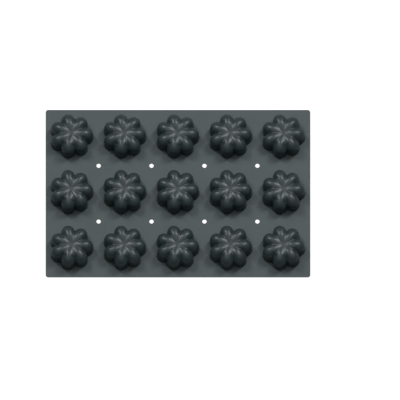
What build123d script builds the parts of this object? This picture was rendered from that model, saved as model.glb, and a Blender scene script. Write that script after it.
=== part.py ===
"""Silicone charlotte mould, lying upside down: a sheet with fifteen lobed cups standing on it.

Millimetres, +Z up, origin on the table under the middle of the sheet. The open side of every cup
faces the table. The real mould is one moulding, kept here as its sheet and its cups, which meet
face to face where the wall of a cup grows out of the sheet.
"""

import os
from math import asin, cos, hypot, pi, radians, sin, sqrt, tan

from build123d import *

# The sheet
SHEET_LENGTH = 600.0
SHEET_WIDTH = 400.0
SHEET_THICKNESS = 2.0
CORNER_RADIUS = 6.0
EDGE_BEVEL = 0.6
COLUMNS = 5
ROW_NAMES = ("front", "middle", "back")
HOLE_DIAMETER = 10.0

# The cup in plan, where it meets the sheet
LOBES = 7
LOBE_CENTRE = 34.2
LOBE_RADIUS = 16.4
WALL = 2.0
DRAFT = 3.8
VALLEY_ROUNDING = 1.5
VALLEY_FADE = 6.0

# The cup in height, above the upper face of the sheet
WALL_TOP = 22.0
CREST_HEIGHT = 39.0
CREST_PLACE = 22.5
CROWN_HEIGHT = 36.0
CROWN_RADIUS = 4.5
ARCH_STEEPNESS = 1.6

# Where the facets' corners lie over a lobe, as shares of the way from its ridge to its valleys
OUTER_SHARES = (-1.0, -0.77, -0.42, 0.0, 0.42, 0.77)
INNER_SHARES = (-1.0, -0.62, 0.0, 0.62)
TOP_STRIPS = 4
FOOT_OVERRUN = 3.0

ROWS = len(ROW_NAMES)
COLUMN_PITCH = SHEET_LENGTH / COLUMNS
ROW_PITCH = SHEET_WIDTH / ROWS
HALF_LOBE = pi / LOBES
TIP_REACH = LOBE_CENTRE + LOBE_RADIUS
BACK_REACH = LOBE_CENTRE * cos(HALF_LOBE) + LOBE_RADIUS
CUP_SHIFT = (BACK_REACH - TIP_REACH) / 2


def lobe_radius(height, inset):
    """Radius of a lobe at one height, on the outer face or set in behind it."""
    return LOBE_RADIUS - inset - height * tan(radians(DRAFT))


def place_on_lobe(distance, angle, inset):
    """Place along and across the lobe, with the fold of the valley beside it rounded off."""
    rounding = (VALLEY_ROUNDING + inset / 2) * distance / hypot(distance, VALLEY_FADE)
    valley = distance * sin(HALF_LOBE - abs(angle))
    whole = distance * sin(HALF_LOBE)
    rounded = valley + (hypot(valley, rounding) - valley) * (1 - valley / whole)
    turned = HALF_LOBE - asin(rounded / distance)
    return distance * cos(turned), distance * sin(turned)


def wall_reach(angle, height, inset):
    """Distance from the cup's axis to its wall, found by halving."""
    near = LOBE_CENTRE * 0.95
    far = TIP_REACH + 5
    for halving in range(40):
        middle = (near + far) / 2
        along, across = place_on_lobe(middle, angle, inset)
        if hypot(along - LOBE_CENTRE, across) < lobe_radius(height, inset):
            near = middle
        else:
            far = middle
    return near


def ridge_height(along, inset):
    """Height of the ridge over the middle of a lobe, from the crown over the crest to the tip."""
    crest = CREST_HEIGHT - inset
    if along < CREST_PLACE:
        fall = (CREST_PLACE - along) / (CREST_PLACE - CROWN_RADIUS)
        return crest - (CREST_HEIGHT - CROWN_HEIGHT) * fall**2
    tip = LOBE_CENTRE + lobe_radius(WALL_TOP, inset)
    share = (along - CREST_PLACE) / (tip - CREST_PLACE)
    return WALL_TOP + (crest - WALL_TOP) * sqrt(max(0.0, 1 - share**2))


def top_height(distance, angle, inset):
    """Height of the cup's top: an arch across each lobe, highest on its ridge."""
    along, across = place_on_lobe(distance, angle, inset)
    radius = lobe_radius(WALL_TOP, inset)
    if along < (LOBE_CENTRE**2 - radius**2) / LOBE_CENTRE:
        half_width = along * tan(asin(radius / LOBE_CENTRE))
    else:
        half_width = sqrt(max(0.0001, radius**2 - (along - LOBE_CENTRE) ** 2))
    ridge = ridge_height(along, inset)
    springing = max(WALL_TOP, ridge - ARCH_STEEPNESS * half_width)
    return springing + (ridge - springing) * sqrt(max(0.0, 1 - (across / half_width) ** 2))


def upright_profile(angle, inset):
    """Corners of the upright profile at one angle: foot, top of the wall, strips, and crown."""
    wall_foot = wall_reach(angle, 0, inset)
    wall_top = wall_reach(angle, WALL_TOP, inset)
    corners = [(wall_foot, -FOOT_OVERRUN), (wall_foot, 0), (wall_top, WALL_TOP)]
    for strip in range(TOP_STRIPS - 1, 0, -1):
        distance = CROWN_RADIUS + (wall_top - CROWN_RADIUS) * sin(strip / TOP_STRIPS * pi / 2)
        corners.append((distance, top_height(distance, angle, inset)))
    corners.append((CROWN_RADIUS, CROWN_HEIGHT - inset))
    return corners


def lobed_form(inset, shares):
    """Solid form under the outer face of a cup, or under its inner face when set in by the wall.

    Upright profiles stand round the axis like the ribs of a tent, and flat three-cornered facets
    join each to the next. The facets on the two sides of a ridge mirror each other.
    """
    ribs = []
    for lobe in range(LOBES):
        for share in shares:
            turn = 2 * HALF_LOBE * lobe + HALF_LOBE * share
            profile = upright_profile(HALF_LOBE * share, inset)
            ribs.append([Vector(reach * cos(turn), reach * sin(turn), height) for reach, height in profile])
    facets = [
        Face(Wire.make_polygon([rib[0] for rib in ribs])),
        Face(Wire.make_polygon([rib[-1] for rib in ribs])),
    ]
    for number, rib in enumerate(ribs):
        following = ribs[(number + 1) % len(ribs)]
        rising = number % len(shares) < len(shares) / 2
        for level in range(len(rib) - 1):
            low, low_next = rib[level], following[level]
            high, high_next = rib[level + 1], following[level + 1]
            if rising:
                corners = ((low, low_next, high_next), (low, high_next, high))
            else:
                corners = ((low, low_next, high), (low_next, high_next, high))
            facets += [Face(Wire.make_polygon(three)) for three in corners]
    return Solid(Shell(facets))


def cup_places(height):
    """Where the cups' axes stand; each cup is centred on its own share of the sheet."""
    places = []
    for row in range(ROWS):
        for column in range(COLUMNS):
            across = (column - (COLUMNS - 1) / 2) * COLUMN_PITCH + CUP_SHIFT
            places.append((across, (row - (ROWS - 1) / 2) * ROW_PITCH, height))
    return places


os.makedirs("parts", exist_ok=True)
outer_form = lobed_form(0, OUTER_SHARES)
inner_form = lobed_form(WALL, INNER_SHARES)

# The shell of a cup, open below
with BuildPart() as shell:
    add(outer_form)
    add(inner_form, mode=Mode.SUBTRACT)
    split(bisect_by=Plane.XY, keep=Keep.TOP)

# The sheet, with a mouth under every cup and a round hole where four cups meet
with BuildPart() as mat:
    with BuildSketch():
        RectangleRounded(SHEET_LENGTH, SHEET_WIDTH, CORNER_RADIUS)
    extrude(amount=SHEET_THICKNESS)
    chamfer(mat.faces().sort_by(Axis.Z)[-1].edges(), EDGE_BEVEL)
    with Locations(Plane.XY.offset(SHEET_THICKNESS)):
        with GridLocations(COLUMN_PITCH, ROW_PITCH, COLUMNS - 1, ROWS - 1):
            Hole(HOLE_DIAMETER / 2)
    with Locations(*cup_places(SHEET_THICKNESS)):
        add(inner_form, mode=Mode.SUBTRACT)

mat.part.label = "mat"
export_step(mat.part, "parts/mat.step")

for number, place in enumerate(cup_places(SHEET_THICKNESS)):
    with BuildPart() as cup:
        with Locations(place):
            add(shell.part)
    cup.part.label = f"cup_{ROW_NAMES[number // COLUMNS]}_{number % COLUMNS + 1}"
    export_step(cup.part, f"parts/{cup.part.label}.step")
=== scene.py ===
"""The silicone charlotte mould on a pale studio floor, seen steeply from the front.

Metres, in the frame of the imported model: +Z up, the sheet's long side along X.
"""

from math import asin, cos, hypot, pi, radians, sin, sqrt, tan

import bpy
from mathutils import Matrix, Vector


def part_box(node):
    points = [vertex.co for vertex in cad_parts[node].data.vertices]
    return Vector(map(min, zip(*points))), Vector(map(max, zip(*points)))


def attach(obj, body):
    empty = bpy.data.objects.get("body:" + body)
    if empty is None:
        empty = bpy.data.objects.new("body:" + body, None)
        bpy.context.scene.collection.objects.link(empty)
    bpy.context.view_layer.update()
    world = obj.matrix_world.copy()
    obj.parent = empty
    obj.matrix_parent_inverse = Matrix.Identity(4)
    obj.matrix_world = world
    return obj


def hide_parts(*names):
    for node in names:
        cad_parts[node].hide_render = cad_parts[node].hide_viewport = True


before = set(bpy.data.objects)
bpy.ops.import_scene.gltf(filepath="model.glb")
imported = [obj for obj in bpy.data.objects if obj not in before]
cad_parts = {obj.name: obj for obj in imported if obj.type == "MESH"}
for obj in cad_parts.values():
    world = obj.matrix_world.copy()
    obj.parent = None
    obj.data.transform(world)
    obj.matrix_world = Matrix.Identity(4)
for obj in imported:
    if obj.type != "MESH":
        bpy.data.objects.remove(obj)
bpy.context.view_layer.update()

MM = 0.001
SHEET_NODE = "mat"
CUP_NODES = sorted(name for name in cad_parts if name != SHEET_NODE)

# The photograph's frame, in its own pixels, and the sheet's place in it
PHOTO_WIDTH = 400
PHOTO_HEIGHT = 400
SHEET_LEFT = 45.69
SHEET_RIGHT = 310.32
SHEET_MIDDLE_X = 178.0
SHEET_MIDDLE_Y = 193.5

# Camera
CAMERA_ELEVATION = radians(71.5)
CAMERA_DISTANCE = 3.0

# The sheet
COLUMNS = 5
ROWS = 3
SHEET_CORNER = 6.0 * MM
SHEET_EDGE = 0.45 * MM
HOLE_RADIUS = 5.0 * MM
MOUTH_SEAM = 0.25 * MM
EDGE_STEPS = 3
CORNER_STEPS = 10
HOLE_STEPS = 48

# The cup in plan
LOBES = 7
HALF_LOBE = pi / LOBES
LOBE_CENTRE = 34.2 * MM
LOBE_RADIUS = 16.4 * MM
WALL = 2.0 * MM
DRAFT = radians(3.8)
VALLEY_ROUNDING = 1.5 * MM
VALLEY_FADE = 6.0 * MM
SEARCH_NEAR = LOBE_CENTRE * 0.95
SEARCH_FAR = LOBE_CENTRE + LOBE_RADIUS * 1.3
LEAST_WIDTH = 0.01 * MM

# The cup in height, above the upper face of the sheet
WALL_TOP = 22.0 * MM
CREST_HEIGHT = 39.0 * MM
CREST_PLACE = 24.5 * MM
CREST_ROUNDING = 0.35
CROWN_HEIGHT = 35.5 * MM
CROWN_RADIUS = 4.5 * MM
VALLEY_POWER = 3.0

# How finely a cup is meshed
STEPS_PER_LOBE = 24
WALL_RINGS = 5
TOP_RINGS = 26
HALVINGS = 32
SHARP_ANGLE = radians(60)

# Silicone
SHEET_COLOUR = (0.040, 0.058, 0.062, 1)
# Painted shade: the cups are the sheet's silicone drawn darker, to stand in for the shade on their sides
SHADED_CUP_COLOUR = (0.022, 0.034, 0.036, 1)
BLOOM_COLOUR = (0.100, 0.128, 0.132, 1)
SHEET_ROUGHNESS = 0.42
CUP_ROUGHNESS = 0.36
SHEET_BLOOM = 0.30
CUP_BLOOM = 0.15
BLOOM_DULLING = 0.5
SHEET_GRAIN = 0.08 * MM
CUP_GRAIN = 0.015 * MM
GRAIN_STRENGTH = 0.35
SILICONE_IOR = 1.43
NOISE_ROUGHNESS = 0.55

# Floor
FLOOR_HALF = 4.0
FLOOR_GAP = 0.6 * MM
FLOOR_COLOUR = (0.35, 0.35, 0.35, 1)
FLOOR_GLOW = 0.82

# Light
WORLD_STRENGTH = 0.10


def lobe_radius(height, inset):
    """Radius of a lobe at one height, on the outer face or set in behind it."""
    return LOBE_RADIUS - inset - height * tan(DRAFT)


def place_on_lobe(distance, angle, inset):
    """Place along and across the lobe, with the fold of the valley beside it rounded off."""
    rounding = (VALLEY_ROUNDING + inset / 2) * distance / hypot(distance, VALLEY_FADE)
    valley = distance * sin(HALF_LOBE - abs(angle))
    whole = distance * sin(HALF_LOBE)
    rounded = valley + (hypot(valley, rounding) - valley) * (1 - valley / whole)
    turned = HALF_LOBE - asin(rounded / distance)
    return distance * cos(turned), distance * sin(turned)


def wall_reach(angle, height, inset):
    """Distance from the cup's axis to its wall, found by halving."""
    near, far = SEARCH_NEAR, SEARCH_FAR
    for halving in range(HALVINGS):
        middle = (near + far) / 2
        along, across = place_on_lobe(middle, angle, inset)
        if hypot(along - LOBE_CENTRE, across) < lobe_radius(height, inset):
            near = middle
        else:
            far = middle
    return near


def ridge_height(along, inset):
    """Height of the ridge over the middle of a lobe, from the crown over the crest to the tip."""
    crest = CREST_HEIGHT - inset
    if along < CREST_PLACE:
        fall = (CREST_PLACE - along) / (CREST_PLACE - CROWN_RADIUS)
        rounded = hypot(fall, CREST_ROUNDING) - CREST_ROUNDING
        whole = hypot(1, CREST_ROUNDING) - CREST_ROUNDING
        return crest - (CREST_HEIGHT - CROWN_HEIGHT) * rounded / whole
    tip = LOBE_CENTRE + lobe_radius(WALL_TOP, inset)
    share = (along - CREST_PLACE) / (tip - CREST_PLACE)
    return WALL_TOP + (crest - WALL_TOP) * sqrt(max(0.0, 1 - share**2))


def valley_height(along, end, inset):
    """Height of the valley floor beside a lobe: level by the crown, steep where the lobes part."""
    share = min(1.0, max(0.0, (along - CROWN_RADIUS) / (end - CROWN_RADIUS)))
    return WALL_TOP + (CROWN_HEIGHT - inset - WALL_TOP) * sqrt(1 - share**VALLEY_POWER)


def top_height(distance, angle, inset):
    """Height of the cup's top: an arch across each lobe, highest on its ridge."""
    along, across = place_on_lobe(distance, angle, inset)
    radius = lobe_radius(WALL_TOP, inset)
    parting = (LOBE_CENTRE**2 - radius**2) / LOBE_CENTRE
    if along < parting:
        half_width = along * tan(asin(radius / LOBE_CENTRE))
    else:
        half_width = sqrt(max(LEAST_WIDTH**2, radius**2 - (along - LOBE_CENTRE) ** 2))
    springing = valley_height(along, parting, inset)
    ridge = max(springing, ridge_height(along, inset))
    return springing + (ridge - springing) * sqrt(max(0.0, 1 - (across / half_width) ** 2))


def upright_profile(angle, inset, sheet_thickness):
    """The cup's face at one angle, from its foot up to the crown: pairs of reach and height."""
    profile = []
    if inset:
        profile.append((wall_reach(angle, 0, inset), -sheet_thickness + MOUTH_SEAM))
    for ring in range(WALL_RINGS):
        height = WALL_TOP * ring / WALL_RINGS
        profile.append((wall_reach(angle, height, inset), height))
    wall_top = wall_reach(angle, WALL_TOP, inset)
    profile.append((wall_top, WALL_TOP))
    for ring in range(TOP_RINGS - 1, 0, -1):
        distance = CROWN_RADIUS + (wall_top - CROWN_RADIUS) * sin(ring / TOP_RINGS * pi / 2)
        profile.append((distance, top_height(distance, angle, inset)))
    profile.append((CROWN_RADIUS, CROWN_HEIGHT - inset))
    return profile


def lobed_skin(inset, sheet_thickness):
    """Points and faces of one face of the cup, ring by ring from the foot to the crown."""
    profiles = []
    for step in range(STEPS_PER_LOBE):
        share = 2 * step / STEPS_PER_LOBE - 1
        profiles.append(upright_profile(HALF_LOBE * share, inset, sheet_thickness))
    points, faces = [], []
    around = LOBES * STEPS_PER_LOBE
    rings = len(profiles[0])
    for ring in range(rings):
        for step in range(around):
            turn = 2 * pi * step / around - HALF_LOBE
            reach, height = profiles[step % STEPS_PER_LOBE][ring]
            points.append((reach * cos(turn), reach * sin(turn), height))
    for ring in range(rings - 1):
        for step in range(around):
            low, low_next = ring * around + step, ring * around + (step + 1) % around
            faces.append((low, low_next, low_next + around, low + around))
    last = (rings - 1) * around
    points.append((0, 0, CROWN_HEIGHT - inset))
    for step in range(around):
        faces.append((last + step, last + (step + 1) % around, len(points) - 1))
    if inset:
        faces = [tuple(reversed(face)) for face in faces]
    return points, faces


def cup_mesh(skin):
    """One cup: its outer face, its inner face down through the mouth, and the rim between them."""
    low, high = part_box(SHEET_NODE)
    thickness = high[2] - low[2]
    outer_points, outer_faces = lobed_skin(0, thickness)
    inner_points, inner_faces = lobed_skin(WALL, thickness)
    moved = len(outer_points)
    faces = outer_faces + [tuple(corner + moved for corner in face) for face in inner_faces]
    around = LOBES * STEPS_PER_LOBE
    for step in range(around):
        ahead = (step + 1) % around
        faces.append((ahead, step, step + moved, ahead + moved))
    mesh = bpy.data.meshes.new("cup")
    mesh.from_pydata(outer_points + inner_points, [], faces)
    mesh.validate()
    mesh.materials.append(skin)
    mesh.shade_smooth()
    mesh.set_sharp_from_angle(angle=SHARP_ANGLE)
    return mesh


def cup_place(name):
    """The axis of the cup that a node of the frame stands for, at the sheet's upper face."""
    low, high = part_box(name)
    sheet_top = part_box(SHEET_NODE)[1][2]
    reach = LOBE_CENTRE + LOBE_RADIUS
    return Vector((high[0] - reach, (low[1] + high[1]) / 2, sheet_top))


def stand_cups(skin):
    """The same finely meshed cup in the place of every cup of the frame."""
    mesh = cup_mesh(skin)
    for name in CUP_NODES:
        cup = bpy.data.objects.new(name.replace("cup", "lobed_cup"), mesh)
        cup.location = cup_place(name)
        bpy.context.scene.collection.objects.link(cup)
        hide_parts(name)
        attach(cup, "root")


def outline(curve, points):
    """One closed straight-edged outline of a flat curve."""
    spline = curve.splines.new("POLY")
    spline.points.add(len(points) - 1)
    for place, (x, y) in zip(spline.points, points):
        place.co = (x, y, 0, 1)
    spline.use_cyclic_u = True


def ring_of_points(centre, radius, start, end, steps):
    """Points on an arc about a centre."""
    turns = [start + (end - start) * step / steps for step in range(steps + 1)]
    return [(centre[0] + radius * cos(turn), centre[1] + radius * sin(turn)) for turn in turns]


def sheet_curve(low, high):
    """The sheet's edge, the mouths of its cups and its holes, as one flat filled curve."""
    curve = bpy.data.curves.new("sheet", "CURVE")
    curve.dimensions = "2D"
    curve.fill_mode = "BOTH"
    curve.extrude = (high[2] - low[2]) / 2 - SHEET_EDGE
    curve.bevel_depth = SHEET_EDGE
    curve.bevel_resolution = EDGE_STEPS
    curve.offset = -SHEET_EDGE
    edge = []
    for number, (side_x, side_y) in enumerate(((1, 1), (-1, 1), (-1, -1), (1, -1))):
        centre = (side_x * (high[0] - SHEET_CORNER), side_y * (high[1] - SHEET_CORNER))
        start = number * pi / 2
        edge += ring_of_points(centre, SHEET_CORNER, start, start + pi / 2, CORNER_STEPS)
    outline(curve, edge)
    mouth = []
    around = LOBES * STEPS_PER_LOBE
    for step in range(around):
        share = 2 * (step % STEPS_PER_LOBE) / STEPS_PER_LOBE - 1
        turn = 2 * pi * step / around - HALF_LOBE
        reach = wall_reach(HALF_LOBE * share, 0, WALL) + MOUTH_SEAM
        mouth.append((reach * cos(turn), reach * sin(turn)))
    for name in CUP_NODES:
        place = cup_place(name)
        outline(curve, [(x + place.x, y + place.y) for x, y in mouth])
    column_pitch = (high[0] - low[0]) / COLUMNS
    row_pitch = (high[1] - low[1]) / ROWS
    for column in range(COLUMNS - 1):
        for row in range(ROWS - 1):
            centre_x = (column - (COLUMNS - 2) / 2) * column_pitch
            centre_y = (row - (ROWS - 2) / 2) * row_pitch
            ring = ring_of_points((centre_x, centre_y), HOLE_RADIUS, 0, 2 * pi, HOLE_STEPS)
            outline(curve, ring[:-1])
    return curve


def spread_sheet(skin):
    """The sheet with softly rounded edges, in the place of the frame's sheet."""
    low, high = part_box(SHEET_NODE)
    holder = bpy.data.objects.new("sheet_outline", sheet_curve(low, high))
    bpy.context.scene.collection.objects.link(holder)
    mesh = bpy.data.meshes.new_from_object(holder)
    bpy.data.objects.remove(holder)
    mesh.name = "sheet"
    mesh.materials.clear()
    mesh.materials.append(skin)
    sheet = bpy.data.objects.new("moulded_sheet", mesh)
    sheet.location = (0, 0, (low[2] + high[2]) / 2)
    bpy.context.scene.collection.objects.link(sheet)
    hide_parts(SHEET_NODE)
    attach(sheet, "root")


def new_material(name):
    """An empty node material and its output node."""
    material = bpy.data.materials.new(name)
    material.use_nodes = True
    material.node_tree.nodes.clear()
    output = material.node_tree.nodes.new("ShaderNodeOutputMaterial")
    return material, output


def new_group(name, inputs, outputs):
    """A shader node group with named number inputs and named outputs."""
    group = bpy.data.node_groups.new(name, "ShaderNodeTree")
    for label, value in inputs.items():
        socket = group.interface.new_socket(name=label, in_out="INPUT", socket_type="NodeSocketFloat")
        socket.default_value = value
    for label, kind in outputs.items():
        group.interface.new_socket(name=label, in_out="OUTPUT", socket_type=kind)
    return group, group.nodes.new("NodeGroupInput"), group.nodes.new("NodeGroupOutput")


def arithmetic(tree, operation, first, second):
    """A math node over two sockets or numbers; returns its result."""
    node = tree.nodes.new("ShaderNodeMath")
    node.operation = operation
    for place, value in enumerate((first, second)):
        if isinstance(value, (int, float)):
            node.inputs[place].default_value = value
        else:
            tree.links.new(value, node.inputs[place])
    return node.outputs[0]


def noise(tree, scale, detail):
    """Noise over the object's own coordinates; scale is a socket, per metre."""
    place = tree.nodes.new("ShaderNodeTexCoord")
    texture = tree.nodes.new("ShaderNodeTexNoise")
    texture.inputs["Detail"].default_value = detail
    texture.inputs["Roughness"].default_value = NOISE_ROUGHNESS
    tree.links.new(place.outputs["Object"], texture.inputs["Vector"])
    tree.links.new(scale, texture.inputs["Scale"])
    return texture.outputs["Fac"]


def moulded_grain_group():
    """The fine matt grain that a blasted tool leaves on silicone, with slow ripples, as a height."""
    group, given, result = new_group(
        "moulded_grain",
        {"Grain Scale": 2600.0, "Ripple Scale": 60.0, "Ripple Share": 0.3},
        {"Height": "NodeSocketFloat"},
    )
    grain = noise(group, given.outputs["Grain Scale"], detail=2.0)
    ripple = noise(group, given.outputs["Ripple Scale"], detail=1.0)
    ripple = arithmetic(group, "MULTIPLY", ripple, given.outputs["Ripple Share"])
    group.links.new(arithmetic(group, "ADD", grain, ripple), result.inputs["Height"])
    return group


def powder_bloom_group():
    """Where the pale bloom of used silicone lies: cloudy patches with fine specks in them."""
    group, given, result = new_group(
        "powder_bloom",
        {"Patch Scale": 14.0, "Speck Scale": 900.0, "Amount": 0.3},
        {"Mask": "NodeSocketFloat"},
    )
    patches = noise(group, given.outputs["Patch Scale"], detail=4.0)
    specks = noise(group, given.outputs["Speck Scale"], detail=3.0)
    spread = group.nodes.new("ShaderNodeMapRange")
    spread.inputs["From Min"].default_value = 0.35
    spread.inputs["From Max"].default_value = 0.75
    group.links.new(patches, spread.inputs["Value"])
    mixed = arithmetic(group, "MULTIPLY", spread.outputs["Result"], specks)
    mask = arithmetic(group, "MULTIPLY", mixed, given.outputs["Amount"])
    group.links.new(mask, result.inputs["Mask"])
    return group


def silicone_material(name, colour, roughness, bloom_amount, grain_depth, groups):
    """Satin grey silicone with its grain, bloom and uneven sheen."""
    material, output = new_material(name)
    tree = material.node_tree
    skin = tree.nodes.new("ShaderNodeBsdfPrincipled")
    skin.inputs["IOR"].default_value = SILICONE_IOR

    bloom = tree.nodes.new("ShaderNodeGroup")
    bloom.node_tree = groups["powder_bloom"]
    bloom.inputs["Amount"].default_value = bloom_amount
    tint = tree.nodes.new("ShaderNodeMix")
    tint.data_type = "RGBA"
    tint.inputs["A"].default_value = colour
    tint.inputs["B"].default_value = BLOOM_COLOUR
    tree.links.new(bloom.outputs["Mask"], tint.inputs["Factor"])
    tree.links.new(tint.outputs["Result"], skin.inputs["Base Color"])

    dulled = arithmetic(tree, "MULTIPLY", bloom.outputs["Mask"], BLOOM_DULLING)
    tree.links.new(arithmetic(tree, "ADD", dulled, roughness), skin.inputs["Roughness"])

    grain = tree.nodes.new("ShaderNodeGroup")
    grain.node_tree = groups["moulded_grain"]
    bump = tree.nodes.new("ShaderNodeBump")
    bump.inputs["Strength"].default_value = GRAIN_STRENGTH
    bump.inputs["Distance"].default_value = grain_depth
    tree.links.new(grain.outputs["Height"], bump.inputs["Height"])
    tree.links.new(bump.outputs["Normal"], skin.inputs["Normal"])
    tree.links.new(skin.outputs["BSDF"], output.inputs["Surface"])
    return material


def build_mould():
    """The whole moulding: every node of the frame with its silicone, then the sheet and the cups."""
    groups = {"moulded_grain": moulded_grain_group(), "powder_bloom": powder_bloom_group()}
    sheet_skin = silicone_material(
        "sheet_silicone", SHEET_COLOUR, SHEET_ROUGHNESS, SHEET_BLOOM, SHEET_GRAIN, groups
    )
    # The cups get a darker copy of the sheet's silicone: painted shade on their sides, not a different
    # material
    shaded_cup_skin = silicone_material(
        "cup_silicone_painted_shade", SHADED_CUP_COLOUR, CUP_ROUGHNESS, CUP_BLOOM, CUP_GRAIN, groups
    )
    for name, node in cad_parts.items():
        node.data.materials.clear()
        node.data.materials.append(sheet_skin if name == SHEET_NODE else shaded_cup_skin)
    spread_sheet(sheet_skin)
    stand_cups(shaded_cup_skin)


def floor_material():
    """Grey floor that shows white to the camera and still takes a soft shadow."""
    material, output = new_material("studio_floor")
    tree = material.node_tree
    paint = tree.nodes.new("ShaderNodeBsdfDiffuse")
    paint.inputs["Color"].default_value = FLOOR_COLOUR
    glow = tree.nodes.new("ShaderNodeEmission")
    glow.inputs["Color"].default_value = (1, 1, 1, 1)
    seen = tree.nodes.new("ShaderNodeLightPath")
    shown = arithmetic(tree, "MULTIPLY", seen.outputs["Is Camera Ray"], FLOOR_GLOW)
    tree.links.new(shown, glow.inputs["Strength"])
    both = tree.nodes.new("ShaderNodeAddShader")
    tree.links.new(paint.outputs["BSDF"], both.inputs[0])
    tree.links.new(glow.outputs["Emission"], both.inputs[1])
    tree.links.new(both.outputs["Shader"], output.inputs["Surface"])
    return material


def lay_floor():
    """A plain floor, a hair's breadth under the sheet."""
    mesh = bpy.data.meshes.new("floor")
    sides = ((-1, -1), (1, -1), (1, 1), (-1, 1))
    corners = [(x * FLOOR_HALF, y * FLOOR_HALF, -FLOOR_GAP) for x, y in sides]
    mesh.from_pydata(corners, [], [(0, 1, 2, 3)])
    floor = bpy.data.objects.new("floor", mesh)
    bpy.context.scene.collection.objects.link(floor)
    mesh.materials.append(floor_material())


def light_world():
    """An even surround, white to the camera and dim on the mould."""
    world = bpy.data.worlds.new("studio")
    world.use_nodes = True
    tree = world.node_tree
    tree.nodes.clear()
    output = tree.nodes.new("ShaderNodeOutputWorld")
    surround = tree.nodes.new("ShaderNodeBackground")
    surround.inputs["Color"].default_value = (1, 1, 1, 1)
    seen = tree.nodes.new("ShaderNodeLightPath")
    shown = arithmetic(tree, "MULTIPLY", seen.outputs["Is Camera Ray"], 1 - WORLD_STRENGTH)
    tree.links.new(arithmetic(tree, "ADD", shown, WORLD_STRENGTH), surround.inputs["Strength"])
    tree.links.new(surround.outputs["Background"], output.inputs["Surface"])
    bpy.context.scene.world = world


def softbox(name, direction, distance, width, height, power):
    """A rectangular soft light that looks at the middle of the sheet."""
    lamp = bpy.data.lights.new(name, "AREA")
    lamp.shape = "RECTANGLE"
    lamp.size = width
    lamp.size_y = height
    lamp.energy = power
    holder = bpy.data.objects.new(name, lamp)
    bpy.context.scene.collection.objects.link(holder)
    place = Vector(direction).normalized() * distance
    holder.location = place
    holder.rotation_euler = place.to_track_quat("Z", "Y").to_euler()


def light_studio():
    """A wide soft panel overhead, and two smaller ones high behind the sheet, the right one brighter."""
    light_world()
    softbox("overhead", direction=(0.0, 0.10, 1.0), distance=6.0, width=7.0, height=7.0, power=138)
    softbox("soft_right", direction=(0.58, 0.58, 1.0), distance=5.5, width=1.0, height=2.0, power=138)
    softbox("soft_left", direction=(-0.58, 0.58, 1.0), distance=5.5, width=1.0, height=2.0, power=114)


def place_camera():
    """A view without perspective from the front, with the sheet where the photograph has it."""
    low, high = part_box(SHEET_NODE)
    metres_per_pixel = (high[0] - low[0]) / (SHEET_RIGHT - SHEET_LEFT)
    camera = bpy.data.cameras.new("camera")
    camera.type = "ORTHO"
    camera.ortho_scale = metres_per_pixel * PHOTO_WIDTH
    holder = bpy.data.objects.new("camera", camera)
    bpy.context.scene.collection.objects.link(holder)
    back = Vector((0, -cos(CAMERA_ELEVATION), sin(CAMERA_ELEVATION)))
    right = Vector((1, 0, 0))
    up = back.cross(right)
    middle = Vector((0, 0, high[2]))
    target = middle + right * (PHOTO_WIDTH / 2 - SHEET_MIDDLE_X) * metres_per_pixel
    target -= up * (PHOTO_HEIGHT / 2 - SHEET_MIDDLE_Y) * metres_per_pixel
    turned = Matrix((right, up, back)).transposed().to_4x4()
    holder.matrix_world = Matrix.Translation(target + back * CAMERA_DISTANCE) @ turned
    bpy.context.scene.camera = holder


build_mould()
lay_floor()
light_studio()
place_camera()
bpy.context.scene.view_settings.view_transform = "Standard"
